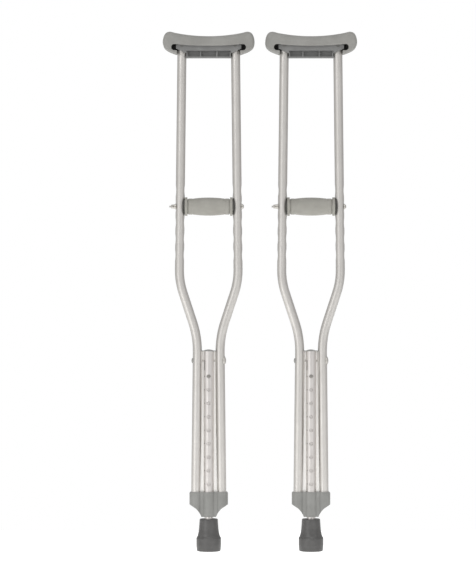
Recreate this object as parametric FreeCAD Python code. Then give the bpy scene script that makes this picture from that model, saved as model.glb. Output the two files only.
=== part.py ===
import FreeCAD, Part
import math
import os

# A pair of aluminium underarm crutches. Each crutch has two bent tubes that meet a
# ribbed underarm crosspiece at the top and a ferrule at the bottom. A leg housing lies
# between the tubes, and a push-button leg slides in it. Millimetres, +Z up, origin on
# the floor midway between the two rubber tips, front of the crutches towards -Y.

V = FreeCAD.Vector
X_AXIS, Y_AXIS, Z_AXIS = V(1, 0, 0), V(0, 1, 0), V(0, 0, 1)

# ---------------------------------------------------------------- driving dimensions
PAIR_SPACING = 225.4  # between the two crutches' centrelines

# bent tubes
TUBE_R = 10.0
TUBE_WALL = 1.3
UPPER_BEND_R = 160.0
LOWER_BEND_R = 200.0
TOP_HALF_SPACING = 59.2  # tube axis to centreline at the crosspiece
HAND_HALF_SPACING = 64.9  # tube axis to centreline at the upper bend
FOOT_SPREAD = 3.9  # how much wider each tube stands at the ferrule than at the lower bend

# leg, its housing and the push button
LEG_R = 9.5
LEG_WALL = 1.5
HOUSING_FIT = 0.3  # radial, leg in housing
HOUSING_WALL = 1.8
HOUSING_EXPOSED = 309.8  # from ferrule to the housing's top
HOUSING_WEB_T = 3.2
WEB_WIDTH = 3.1  # between the housing's round middle and each tube
SADDLE_T = 1.5  # the housing's curved lips round the tubes
SADDLE_FIT = 0.3
LIP_X = 17.0  # where the lips end, from the centreline
CAP_PLATE_T = 1.4
CAP_DOME_RISE = 2.4
CAP_PLUG_DEPTH = 4.0
MARK_LENGTH = 2.2  # height mark beside each adjustment hole
LONG_MARK_LENGTH = 22.0
LEG_HOLE_COUNT = 9
LEG_HOLE_PITCH = 29.6
FIRST_HOLE_DROP = 55.1  # from the housing's top to the first adjustment hole
BUTTON_R = 4.0
BUTTON_PROUD = 2.6
BUTTON_FLANGE_R = 5.2
BUTTON_FLANGE_T = 1.2
BUTTON_FIT = 0.3
LEG_TOP_DROP = 32.0  # from the housing's top to the top of the retracted leg
STOP_BOLT_DROP = 20.8
BOLT_R = 2.5
BOLT_FIT = 0.3
STOP_HEAD_R = 9.6  # the housing bolt's wide head
STOP_HEAD_RISE = 3.0
STOP_HEAD_SKIRT = 4.0
CAP_NUT_R = 5.6
CAP_NUT_RISE = 2.0
PLUG_COLLAR_T = 3.0  # collar and spigot of the plug in the leg's top
PLUG_SPIGOT = 9.0
PLUG_BORE_R = 6.0
SPRING_HALF_WIDTH = 3.0
SPRING_LEAF_T = 0.6
SPRING_RISE = 6.0
SPRING_LENGTH = 42.0

# ferrule and rubber tip
TIP_HEIGHT = 70.5
TIP_BASE_R = 27.3
TIP_NECK_R = 19.9
TIP_FLOOR = 12.5
TIP_WASHER_T = 1.5
TIP_GAP = 5.0  # bare leg between tip and ferrule
FERRULE_HEIGHT = 54.6
FERRULE_CORNER = 2.2
FERRULE_WALL = 3.8
FERRULE_WEB = 9.5
TUBE_SOCKET_DEPTH = 22.6
HOUSING_SOCKET_DEPTH = 18.0
BUSH_SEAT = 3.0  # the ferrule's ledge under the guide bush
BUSH_FIT = 0.08
SEAT_FIT = 0.1
RIVET_R = 2.0
BLIND_HEAD_R = 3.6
BLIND_HEAD_RISE = 1.4
SOLE_GROOVE = 2.0
SOLE_LAND = 2.4
SOLE_GROOVE_DEPTH = 1.6

# heights of the frame
LOWER_BEND_RISE = 31.5  # housing's top to the lower bend
UPPER_BEND_RISE = 122.4  # lower bend to upper bend
UPPER_RUN = 492.2  # upper bend to the crosspiece's underside

# hand grip
GRIP_DROP = 327.4  # from the crosspiece's underside to the grip's bolt
GRIP_PITCH = 35.6
GRIP_HOLES_ABOVE = 1
GRIP_HOLES_BELOW = 3
PINCH = 1.1  # the tubes are pinched this deep at each grip hole
PINCH_R = 66.0
GRIP_END_R = 16.7
GRIP_MIDDLE_R = 19.7
GRIP_FLANGE_R = 20.5
GRIP_FLANGE_T = 5.5
GRIP_COLLAR_T = 8.0
GRIP_GROOVE_T = 2.4
CORE_R = 11.7
CORE_END_R = 18.0
CORE_END_T = 2.8
EAR_RISE = 4.4
GRIP_CLEAR = 0.3
WASHER_R = 7.0
WASHER_T = 1.0
BOLT_HEAD_R = 5.2
BOLT_HEAD_RIM = 1.6
BOLT_HEAD_DOME = 3.0
DRIVER_SLOT = 1.4
DRIVER_SLOT_DEPTH = 1.2
NUT_BOSS_R = 4.9
WING_SPAN = 14.0
WING_T = 3.0
WING_NUT_LENGTH = 12.7
NUT_BOSS_LENGTH = 9.6
SPIN_FIT = 0.05

# crosspiece and underarm pad
BEAM_HEIGHT = 15.0
BEAM_HALF_DEPTH = 9.0
BEAM_FLANGE_T = 2.5
RIB_T = 3.0
INNER_RIB_X = 18.0
STRIP_HEIGHT = 10.0
SADDLE_HALF_DEPTH = 15.0
SADDLE_PLATE_T = 4.5
SADDLE_END_DEPTH = 11.3  # how far the side walls hang below the plate at its ends
SOCKET_WALL = 2.6
SOCKET_DEPTH = 32.0  # tube top above the crosspiece's underside
GUSSET_DROP = 5.5
CHEEK_SLOPE = 0.43  # how steeply the cheeks' lower edge climbs across each tube
PAD_HALF_LENGTH = 100.7
PAD_HALF_DEPTH = 23.0
PAD_END_WALL = 14.7
PAD_MIDDLE_HEIGHT = 21.8
PAD_TOP_R = 375.0
PAD_SKIRT_R = 700.0
PAD_TOP_WALL = 8.0
PAD_FIT = 0.4
PAD_PEAK_INSET = 16.7  # from the pad's end to the top of its lobe
PAD_FLAP_RISE = 7.3  # the flaps' lower edge above the crosspiece's underside
PAD_HOLE_R = 5.9
PAD_HOLE_EDGE = 5.4  # rubber left below each hole
PAD_HOLE_WEB_T = 5.0  # rubber left between the front hole and the back one
CAVITY_BELOW_PLATE = 12.6  # how far the boot's hollow runs on below the saddle plate

# ---------------------------------------------------------------- worked-out places
FERRULE_BOTTOM = TIP_HEIGHT + TIP_GAP
FERRULE_TOP = FERRULE_BOTTOM + FERRULE_HEIGHT
TUBE_BOTTOM = FERRULE_TOP - TUBE_SOCKET_DEPTH
HOUSING_BOTTOM = FERRULE_TOP - HOUSING_SOCKET_DEPTH
HOUSING_TOP = FERRULE_TOP + HOUSING_EXPOSED
LOWER_BEND_Z = HOUSING_TOP + LOWER_BEND_RISE
UPPER_BEND_Z = LOWER_BEND_Z + UPPER_BEND_RISE
BEAM_Z = UPPER_BEND_Z + UPPER_RUN
STRIP_Z = BEAM_Z + BEAM_HEIGHT
SKIRT_Z = STRIP_Z + STRIP_HEIGHT
PAD_MIDDLE_Z = SKIRT_Z + PAD_MIDDLE_HEIGHT
TUBE_TOP = BEAM_Z + SOCKET_DEPTH
GRIP_Z = BEAM_Z - GRIP_DROP
STOP_BOLT_Z = HOUSING_TOP - STOP_BOLT_DROP
BUTTON_Z = HOUSING_TOP - FIRST_HOLE_DROP
LEG_TOP = HOUSING_TOP - LEG_TOP_DROP
LEG_BOTTOM = TIP_FLOOR + TIP_WASHER_T

HOUSING_BORE_R = LEG_R + HOUSING_FIT
HOUSING_R = HOUSING_BORE_R + HOUSING_WALL
NECK_HALF_SPACING = HOUSING_R + WEB_WIDTH + TUBE_R
FOOT_HALF_SPACING = NECK_HALF_SPACING + FOOT_SPREAD
GRIP_LEVELS = [
    GRIP_Z + GRIP_PITCH * k for k in range(-GRIP_HOLES_BELOW, GRIP_HOLES_ABOVE + 1)
]
LEG_HOLE_LEVELS = [BUTTON_Z - LEG_HOLE_PITCH * k for k in range(LEG_HOLE_COUNT)]


def upper_axis_x(z):
    """The tube axis's distance from the centreline, on its upper straight run."""
    slope = (TOP_HALF_SPACING - HAND_HALF_SPACING) / UPPER_RUN
    return HAND_HALF_SPACING + slope * (z - UPPER_BEND_Z)


def lower_axis_x(z):
    """The tube axis's distance from the centreline, on its lower straight run."""
    slope = (NECK_HALF_SPACING - FOOT_HALF_SPACING) / (LOWER_BEND_Z - FERRULE_TOP)
    return FOOT_HALF_SPACING + slope * (z - FERRULE_TOP)


# ---------------------------------------------------------------- shape helpers
def rod(radius, start, end):
    return Part.makeCylinder(radius, (end - start).Length, start, end - start)


def ring(outer, inner, start, end):
    return rod(outer, start, end).cut(rod(inner, start, end))


def block(x0, x1, y0, y1, z0, z1):
    return Part.makeBox(x1 - x0, y1 - y0, z1 - z0, V(x0, y0, z0))


def fused(shapes):
    return shapes[0].multiFuse(shapes[1:]).removeSplitter()


def both_sides(make):
    """One shape at each tube: make(side) with side -1 at -X and +1 at +X."""
    return [make(-1), make(1)]


def slab(edges, half_depth):
    """A front outline in the XZ plane, as edges, given depth along Y."""
    face = Part.Face(Part.Wire(edges))
    face.translate(V(0, -half_depth, 0))
    return face.extrude(V(0, 2 * half_depth, 0))


def outline(points):
    """Straight edges round a closed outline of (x, z) points."""
    corners = [V(x, 0, z) for x, z in points]
    return [
        Part.LineSegment(a, b).toShape() for a, b in zip(corners, corners[1:] + corners[:1])
    ]


def turned(profile, origin, axis):
    """A profile of (radius, length) points, turned about an axis through origin."""
    corners = [V(r, 0, length) for r, length in profile]
    face = Part.Face(Part.makePolygon(corners + corners[:1]))
    solid = face.revolve(V(0, 0, 0), Z_AXIS, 360)
    solid.Placement = FreeCAD.Placement(origin, FreeCAD.Rotation(Z_AXIS, axis))
    return solid


def dome(base_r, rise, centre, axis):
    """A spherical cap that stands on a round base."""
    sphere_r = (base_r**2 + rise**2) / (2 * rise)
    axis = V(axis).normalize()
    ball = Part.makeSphere(sphere_r, centre - axis * (sphere_r - rise))
    return ball.common(rod(base_r, centre, centre + axis * (rise + 1)))


def bent_bar(points, bend_radii, radius):
    """A round bar along straight runs joined by tangent arcs, in the XZ plane."""
    pieces, start = [], points[0]
    for before, corner, after, bend in zip(points, points[1:], points[2:], bend_radii):
        come, go = (corner - before).normalize(), (after - corner).normalize()
        turn = come.getAngle(go)
        reach = bend * math.tan(turn / 2)
        arc_start, arc_end = corner - come * reach, corner + go * reach
        axis = come.cross(go).normalize()
        centre = arc_start + axis.cross(come) * bend
        pieces.append(rod(radius, start, arc_start))
        disc = Part.Face(Part.Wire(Part.Circle(arc_start, come, radius).toShape()))
        pieces.append(disc.revolve(centre, axis, math.degrees(turn)))
        start = arc_end
    pieces.append(rod(radius, start, points[-1]))
    return fused(pieces)


# ---------------------------------------------------------------- bent tubes
def pinched_bar(side, radius, inset):
    """The tube's bar, scooped on its inner and outer side at each grip hole."""
    points = [
        V(side * lower_axis_x(TUBE_BOTTOM), 0, TUBE_BOTTOM),
        V(side * NECK_HALF_SPACING, 0, LOWER_BEND_Z),
        V(side * HAND_HALF_SPACING, 0, UPPER_BEND_Z),
        V(side * upper_axis_x(TUBE_TOP), 0, TUBE_TOP),
    ]
    bar = bent_bar(points, [LOWER_BEND_R, UPPER_BEND_R], radius)
    scoops = []
    for level in GRIP_LEVELS:
        for face in (-1, 1):
            x = side * upper_axis_x(level) + face * (TUBE_R - PINCH + PINCH_R)
            scoops.append(rod(PINCH_R + inset, V(x, -TUBE_R, level), V(x, TUBE_R, level)))
    return bar.cut(Part.makeCompound(scoops))


def cross_hole(radius, z):
    reach = HAND_HALF_SPACING + 2 * TUBE_R
    return rod(radius, V(-reach, 0, z), V(reach, 0, z))


def bent_tube(side):
    tube = pinched_bar(side, TUBE_R, 0).cut(pinched_bar(side, TUBE_R - TUBE_WALL, TUBE_WALL))
    holes = [cross_hole(BOLT_R + BOLT_FIT, z) for z in GRIP_LEVELS + [STOP_BOLT_Z]]
    holes += [socket_rivet(side, SEAT_FIT), ferrule_rivet(side, SEAT_FIT)]
    return tube.cut(Part.makeCompound(holes))


def tube_room(side, clearance, low, high, axis_x):
    """The space that a straight run of tube takes, with a clearance round it."""
    return rod(TUBE_R + clearance, V(side * axis_x(low), 0, low), V(side * axis_x(high), 0, high))


# ---------------------------------------------------------------- crosspiece
SOCKET_R = TUBE_R + SEAT_FIT + SOCKET_WALL
RIVET_Z = TUBE_TOP - 6.0
PAD_CENTRE_Z = PAD_MIDDLE_Z + PAD_TOP_R
SADDLE_HALF_LENGTH = PAD_HALF_LENGTH - PAD_END_WALL
SADDLE_TOP_R = PAD_TOP_R + PAD_TOP_WALL


def arc_z(x, radius, centre_z):
    return centre_z - math.sqrt(radius**2 - x**2)


def curved_band(top_r, bottom_r, centre_z, half_length):
    """A band between two arcs that share a centre above it."""
    ends = []
    for radius in (top_r, bottom_r):
        z = arc_z(half_length, radius, centre_z)
        ends.append((V(-half_length, 0, z), V(0, 0, centre_z - radius), V(half_length, 0, z)))
    top, bottom = ends
    return [
        Part.Arc(*top).toShape(),
        Part.LineSegment(top[2], bottom[2]).toShape(),
        Part.Arc(*bottom).toShape(),
        Part.LineSegment(bottom[0], top[0]).toShape(),
    ]


def socket_rivet(side, clearance=0.0):
    """A rivet along Y, countersunk at both ends, that holds the tube's top in its socket."""
    x = side * upper_axis_x(RIVET_Z)
    reach, shank_r = SADDLE_HALF_DEPTH, RIVET_R + clearance
    head_r, head_t = 1.8 * RIVET_R + clearance, 0.8 * RIVET_R
    shapes = [rod(shank_r, V(x, -reach, RIVET_Z), V(x, reach, RIVET_Z))]
    for face in (-1, 1):
        centre = V(x, face * reach, RIVET_Z)
        shapes.append(Part.makeCone(head_r, shank_r, head_t, centre, V(0, -face, 0)))
    return fused(shapes)


def underarm_crosspiece():
    plate_under_r = SADDLE_TOP_R + SADDLE_PLATE_T
    plate = slab(
        curved_band(SADDLE_TOP_R, plate_under_r, PAD_CENTRE_Z, SADDLE_HALF_LENGTH),
        SADDLE_HALF_DEPTH,
    )
    rib_x = upper_axis_x(STRIP_Z) - TUBE_R
    gusset_z = STRIP_Z - GUSSET_DROP
    slant_x = upper_axis_x(STRIP_Z) + SOCKET_R
    end_z = arc_z(SADDLE_HALF_LENGTH, plate_under_r, PAD_CENTRE_Z)
    middle_z = PAD_CENTRE_Z - plate_under_r

    def side_wall(slope):
        """The side walls' outline in full depth. Its lower edge climbs at this slope across
        each tube."""
        slant_z = gusset_z + slope * (slant_x - rib_x)
        corners = [
            (SADDLE_HALF_LENGTH, end_z + 1),
            (SADDLE_HALF_LENGTH, end_z - SADDLE_END_DEPTH),
            (slant_x, gusset_z + slant_x - rib_x),
            (slant_x, slant_z),
            (rib_x, gusset_z),
            (rib_x, STRIP_Z),
        ]
        if slope == 1:
            corners.pop(2)
        top = Part.Arc(
            V(-SADDLE_HALF_LENGTH, 0, end_z + 1),
            V(0, 0, middle_z + 1),
            V(SADDLE_HALF_LENGTH, 0, end_z + 1),
        ).toShape()
        mirrored = [(-x, z) for x, z in reversed(corners)]
        return slab([top] + outline(corners + mirrored)[:-1], SADDLE_HALF_DEPTH)

    wall_y = SADDLE_HALF_DEPTH - RIB_T
    inside = SADDLE_HALF_LENGTH + 1
    hollow = block(-inside, inside, -wall_y, wall_y, BEAM_Z, PAD_MIDDLE_Z + PAD_TOP_R)
    channel = fused([plate, side_wall(CHEEK_SLOPE).cut(hollow)])

    sockets = both_sides(
        lambda s: tube_room(s, SEAT_FIT + SOCKET_WALL, BEAM_Z, middle_z + 3, upper_axis_x)
    )
    sockets = Part.makeCompound(sockets).common(side_wall(1))

    web_reach = rib_x + 2.0
    beam = [
        block(-web_reach, web_reach, -RIB_T / 2, RIB_T / 2, BEAM_Z, middle_z + 1),
        block(-web_reach, web_reach, -wall_y, wall_y, STRIP_Z, STRIP_Z + RIB_T),
        block(
            -web_reach, web_reach, -BEAM_HALF_DEPTH, BEAM_HALF_DEPTH, BEAM_Z, BEAM_Z + BEAM_FLANGE_T
        ),
    ]
    for x in (-rib_x + RIB_T / 2, -INNER_RIB_X, INNER_RIB_X, rib_x - RIB_T / 2):
        beam.append(
            block(
                x - RIB_T / 2,
                x + RIB_T / 2,
                -BEAM_HALF_DEPTH,
                BEAM_HALF_DEPTH,
                BEAM_Z,
                middle_z + 1,
            )
        )
    body = fused([channel, sockets] + beam)
    tubes = both_sides(lambda s: tube_room(s, SEAT_FIT, BEAM_Z - 20, TUBE_TOP, upper_axis_x))
    rivets = both_sides(lambda s: socket_rivet(s, SEAT_FIT))
    return body.cut(Part.makeCompound(tubes + rivets))


# ---------------------------------------------------------------- underarm pad
def underarm_pad():
    """A soft boot over the crosspiece: hollow, open below, with a lobe at each end and a
    blind hole beside each tube, front and back."""
    flap_x = upper_axis_x(STRIP_Z) + TUBE_R + GRIP_CLEAR
    flap_z = BEAM_Z + PAD_FLAP_RISE
    peak_x = PAD_HALF_LENGTH - PAD_PEAK_INSET
    peak_z = arc_z(peak_x, PAD_TOP_R, PAD_CENTRE_Z)
    # (inset from the pad's end, share of the way up from the flap to the lobe's top)
    lobe = [(4.5, 0.84), (0.0, 0.52), (2.4, 0.32), (7.8, 0.21), (16.2, 0.116)]
    edges = []
    for side in (-1, 1):
        points = [V(side * peak_x, 0, peak_z)]
        for inset, share in lobe:
            z = flap_z + share * (peak_z - flap_z)
            points.append(V(side * (PAD_HALF_LENGTH - inset), 0, z))
        curve = Part.BSplineCurve()
        curve.interpolate(points + [V(side * flap_x, 0, flap_z)])
        edges.append(curve.toShape())
    edges.append(
        Part.Arc(V(-peak_x, 0, peak_z), V(0, 0, PAD_MIDDLE_Z), V(peak_x, 0, peak_z)).toShape()
    )
    edges.append(Part.LineSegment(V(-flap_x, 0, flap_z), V(flap_x, 0, flap_z)).toShape())
    pad = slab(Part.__sortEdges__(edges), PAD_HALF_DEPTH)

    skirt_centre = SKIRT_Z + PAD_SKIRT_R
    skirt_z = arc_z(flap_x, PAD_SKIRT_R, skirt_centre)
    skirt = slab(
        [Part.Arc(V(-flap_x, 0, skirt_z), V(0, 0, SKIRT_Z), V(flap_x, 0, skirt_z)).toShape()]
        + outline([(flap_x, skirt_z), (flap_x, BEAM_Z), (-flap_x, BEAM_Z), (-flap_x, skirt_z)])[:3],
        PAD_HALF_DEPTH + 1,
    )
    hole_r, web_y, deep = PAD_HOLE_R, PAD_HOLE_WEB_T / 2, PAD_HALF_DEPTH + 1
    hole_low, hole_high = flap_z + PAD_HOLE_EDGE + hole_r, skirt_z - hole_r
    windows = [skirt]
    for side, face in ((-1, -1), (-1, 1), (1, -1), (1, 1)):
        x = side * (flap_x + 0.8 * hole_r)
        near, far = sorted((side * (flap_x - 1), x))
        y0, y1 = sorted((face * web_y, face * deep))
        for z in (hole_low, hole_high):
            windows.append(rod(hole_r, V(x, face * web_y, z), V(x, face * deep, z)))
        windows.append(block(near, far, y0, y1, hole_low - hole_r, hole_high + hole_r))
        windows.append(block(x - hole_r, x + hole_r, y0, y1, hole_low, hole_high))

    cavity_half = SADDLE_HALF_LENGTH + PAD_FIT
    cavity_low_r = SADDLE_TOP_R + SADDLE_PLATE_T + CAVITY_BELOW_PLATE
    cavity = slab(
        curved_band(SADDLE_TOP_R - PAD_FIT, cavity_low_r, PAD_CENTRE_Z, cavity_half),
        SADDLE_HALF_DEPTH + PAD_FIT,
    )
    return pad.cut(Part.makeCompound(windows).fuse(cavity))


# ---------------------------------------------------------------- hand grip
TUBE_OUTER_X = upper_axis_x(GRIP_Z) + TUBE_R - PINCH
# a flat washer meets the curved bottom of the pinch at its upper and lower edge
WASHER_X = TUBE_OUTER_X + PINCH_R - math.sqrt(PINCH_R**2 - WASHER_R**2) + 0.02
SLEEVE_HALF = upper_axis_x(GRIP_Z + GRIP_FLANGE_R) - TUBE_R - GRIP_CLEAR
GRIP_ORIGIN = V(0, 0, GRIP_Z)


def grip_sleeve():
    flange_x = SLEEVE_HALF - GRIP_FLANGE_T
    collar_x = flange_x - GRIP_GROOVE_T
    barrel_x = collar_x - GRIP_COLLAR_T
    collar_r = GRIP_END_R + 0.7
    groove_r = GRIP_END_R - 0.5
    edge = 1.0
    half = [
        (barrel_x, GRIP_END_R),
        (barrel_x, collar_r),
        (collar_x - edge, collar_r),
        (collar_x, collar_r - edge),
        (collar_x, groove_r),
        (flange_x, groove_r),
        (flange_x, GRIP_FLANGE_R - edge),
        (flange_x + edge, GRIP_FLANGE_R),
        (SLEEVE_HALF - edge, GRIP_FLANGE_R),
        (SLEEVE_HALF, GRIP_FLANGE_R - edge),
        (SLEEVE_HALF, CORE_END_R + SEAT_FIT),
        (SLEEVE_HALF - CORE_END_T, CORE_END_R + SEAT_FIT),
        (SLEEVE_HALF - CORE_END_T, CORE_R + SEAT_FIT),
    ]
    right = [V(x, 0, r) for x, r in half]
    left = [V(-x, 0, r) for x, r in reversed(half)]
    edges = [Part.LineSegment(a, b).toShape() for a, b in zip(right, right[1:] + left)]
    edges += [Part.LineSegment(a, b).toShape() for a, b in zip(left, left[1:])]
    edges.append(Part.Arc(left[-1], V(0, 0, GRIP_MIDDLE_R), right[0]).toShape())
    sleeve = Part.Face(Part.Wire(Part.__sortEdges__(edges))).revolve(V(0, 0, 0), X_AXIS, 360)
    sleeve.translate(GRIP_ORIGIN)
    return sleeve


def grip_core():
    """A stiff tube inside the sleeve, with cupped ends whose ears hug the tubes."""
    body = [rod(CORE_R, V(-SLEEVE_HALF, 0, 0), V(SLEEVE_HALF, 0, 0))]
    for side in (-1, 1):
        end = V(side * SLEEVE_HALF, 0, 0)
        body.append(rod(CORE_END_R, end - X_AXIS * side * CORE_END_T, end))
        body.append(dome(CORE_END_R, EAR_RISE, end, X_AXIS * side))
    core = fused(body)
    core = core.cut(rod(BOLT_R + BOLT_FIT, V(-80, 0, 0), V(80, 0, 0)))
    core.translate(GRIP_ORIGIN)
    low, high = GRIP_Z - 2 * CORE_END_R, GRIP_Z + 2 * CORE_END_R
    for side in (-1, 1):
        core = core.cut(tube_room(side, GRIP_CLEAR, low, high, upper_axis_x))
    return core


def grip_bolt():
    head_x = WASHER_X + WASHER_T
    end_x = head_x + NUT_BOSS_LENGTH + 0.1
    rim_x = head_x + BOLT_HEAD_RIM
    top_x, slot_z = rim_x + BOLT_HEAD_DOME, DRIVER_SLOT / 2
    shank = rod(BOLT_R, V(-end_x, 0, GRIP_Z), V(head_x, 0, GRIP_Z))
    rim = rod(BOLT_HEAD_R, V(head_x, 0, GRIP_Z), V(rim_x, 0, GRIP_Z))
    cap = dome(BOLT_HEAD_R, BOLT_HEAD_DOME, V(rim_x, 0, GRIP_Z), X_AXIS)
    reach = BOLT_HEAD_R + 1
    slot = block(top_x - DRIVER_SLOT_DEPTH, top_x, -reach, reach, GRIP_Z - slot_z, GRIP_Z + slot_z)
    return fused([shank, rim, cap]).cut(slot)


def grip_washers():
    washers = []
    for side in (-1, 1):
        inner = V(side * WASHER_X, 0, GRIP_Z)
        outer = V(side * (WASHER_X + WASHER_T), 0, GRIP_Z)
        washers.append(ring(WASHER_R, BOLT_R + SPIN_FIT, inner, outer))
    return Part.makeCompound(washers)


def wing_nut():
    """A wing nut on the bolt's -X end, its wings lying in the horizontal plane."""
    base = WASHER_X + WASHER_T + SPIN_FIT
    length, rim_r = NUT_BOSS_LENGTH, 0.85 * NUT_BOSS_R
    profile = [
        (0, 0),
        (NUT_BOSS_R, 0),
        (NUT_BOSS_R, 1.2),
        (rim_r, length - 0.6),
        (rim_r - 0.6, length),
        (0, length),
    ]
    boss = turned(profile, V(-base, 0, GRIP_Z), -X_AXIS)
    wing = []
    for side in (-1, 1):
        points = [
            V(-base - 3.0, side * 2.0, 0),
            V(-base - 3.4, side * (WING_SPAN - 4.6), 0),
            V(-base - 6.6, side * WING_SPAN, 0),
            V(-base - WING_NUT_LENGTH, side * (WING_SPAN - 1.4), 0),
            V(-base - WING_NUT_LENGTH + 0.9, side * (WING_SPAN - 5.6), 0),
            V(-base - 8.2, side * 2.0, 0),
        ]
        curve = Part.BSplineCurve()
        curve.interpolate(points[1:5])
        edges = [
            Part.LineSegment(points[0], points[1]).toShape(),
            curve.toShape(),
            Part.LineSegment(points[4], points[5]).toShape(),
            Part.LineSegment(points[5], points[0]).toShape(),
        ]
        face = Part.Face(Part.Wire(edges))
        face.translate(V(0, 0, GRIP_Z - WING_T / 2))
        wing.append(face.extrude(V(0, 0, WING_T)))
    nut = fused([boss] + wing)
    far_end = V(-base - WING_NUT_LENGTH, 0, GRIP_Z)
    return nut.cut(rod(BOLT_R + SPIN_FIT, V(-base + 1, 0, GRIP_Z), far_end))


# ---------------------------------------------------------------- leg housing
def leg_housing():
    """A round middle, a web to each side, and curved lips that cradle the tubes."""
    low, high = V(0, 0, HOUSING_BOTTOM), V(0, 0, HOUSING_TOP)
    reach = NECK_HALF_SPACING
    lips = both_sides(
        lambda s: tube_room(
            s, SADDLE_FIT + SADDLE_T, HOUSING_BOTTOM - 5, HOUSING_TOP + 5, lower_axis_x
        )
    )
    span = block(-LIP_X, LIP_X, -2 * TUBE_R, 2 * TUBE_R, HOUSING_BOTTOM, HOUSING_TOP)
    web_y = HOUSING_WEB_T / 2
    web = block(-reach, reach, -web_y, web_y, HOUSING_BOTTOM, HOUSING_TOP)
    body = fused([rod(HOUSING_R, low, high), web, Part.makeCompound(lips).common(span)])
    rooms = both_sides(
        lambda s: tube_room(s, SADDLE_FIT, HOUSING_BOTTOM - 10, HOUSING_TOP + 10, lower_axis_x)
    )
    cuts = rooms + [rod(HOUSING_BORE_R, low - Z_AXIS, high + Z_AXIS)]
    for side in (-1, 1):
        near, far = sorted((side * (lower_axis_x(HOUSING_TOP)), side * (reach + TUBE_R)))
        cuts.append(block(near, far, -web_y, web_y, HOUSING_BOTTOM, HOUSING_TOP))
    for z in LEG_HOLE_LEVELS:
        cuts.append(rod(BUTTON_R + BUTTON_FIT, V(0, 0, z), V(0, -2 * HOUSING_R, z)))
        cuts.append(index_mark(z, MARK_LENGTH))
    cuts.append(index_mark(STOP_BOLT_Z - LONG_MARK_LENGTH / 2 + 1, LONG_MARK_LENGTH))
    cuts.append(cross_hole(BOLT_R + BOLT_FIT, STOP_BOLT_Z))
    return body.cut(Part.makeCompound(cuts[:2])).cut(Part.makeCompound(cuts[2:]))


def index_mark(z, length):
    """A shallow height mark on the flank of the housing's round middle."""
    half_width, depth, turn_from_front = 0.8, 0.6, -49
    low, high = z - length / 2, z + length / 2
    mark = block(-half_width, half_width, -HOUSING_R - 1, -HOUSING_R + depth, low, high)
    mark.rotate(V(0, 0, 0), Z_AXIS, turn_from_front)
    return mark


def housing_top_cap():
    """A thin dark plug that closes the housing's top with a low dome."""
    top = HOUSING_TOP + SEAT_FIT
    low, high = V(0, 0, HOUSING_TOP - CAP_PLUG_DEPTH), V(0, 0, top + CAP_PLATE_T)
    half, depth = lower_axis_x(top) - TUBE_R - SADDLE_FIT, HOUSING_R - 4
    plate = block(-half, half, -depth, depth, top, top + CAP_PLATE_T)
    disc = rod(HOUSING_R, V(0, 0, top), high)
    cap = dome(HOUSING_R - 0.4, CAP_DOME_RISE, high, Z_AXIS)
    plug_r = HOUSING_BORE_R - SEAT_FIT
    plug = ring(plug_r, plug_r - CAP_PLATE_T, low, high)
    hollow = dome(plug_r - CAP_PLATE_T, CAP_DOME_RISE - 1, V(0, 0, top), Z_AXIS)
    return fused([plate, disc, cap, plug]).cut(hollow)


def housing_bolt():
    """The cross bolt through both tubes and the housing; its wide head hugs the tube."""
    face_x = lower_axis_x(STOP_BOLT_Z) + TUBE_R
    origin = V(face_x, 0, STOP_BOLT_Z)
    shank = rod(BOLT_R, V(-face_x - 1.6, 0, STOP_BOLT_Z), origin)
    collar = rod(STOP_HEAD_R, origin - X_AXIS * STOP_HEAD_SKIRT, origin)
    cap = dome(STOP_HEAD_R, STOP_HEAD_RISE, origin, X_AXIS)
    low, high = STOP_BOLT_Z - 2 * STOP_HEAD_R, STOP_BOLT_Z + 2 * STOP_HEAD_R
    room = tube_room(1, SEAT_FIT, low, high, lower_axis_x)
    head = collar.fuse(cap).cut(room)
    return fused([shank, head])


def housing_cap_nut():
    face_x = lower_axis_x(STOP_BOLT_Z) + TUBE_R
    origin = V(-face_x, 0, STOP_BOLT_Z)
    rim = origin - X_AXIS * 0.8
    skirt = rod(CAP_NUT_R, origin + X_AXIS * 1.4, rim)
    cap = dome(CAP_NUT_R, CAP_NUT_RISE, rim, -X_AXIS)
    low, high = STOP_BOLT_Z - 2 * STOP_HEAD_R, STOP_BOLT_Z + 2 * STOP_HEAD_R
    room = tube_room(-1, SEAT_FIT, low, high, lower_axis_x)
    bore = rod(BOLT_R + SPIN_FIT, origin + X_AXIS * 4, origin - X_AXIS * 1.7)
    return fused([skirt, cap]).cut(room).cut(bore)


# ---------------------------------------------------------------- ferrule
FERRULE_LOBE_R = TUBE_R + FERRULE_WALL
FERRULE_MIDDLE_R = HOUSING_R + FERRULE_WALL - 0.4
FERRULE_HALF_WIDTH = FOOT_HALF_SPACING + FERRULE_LOBE_R
FERRULE_RIVET_Z = FERRULE_TOP - 11.0


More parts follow.
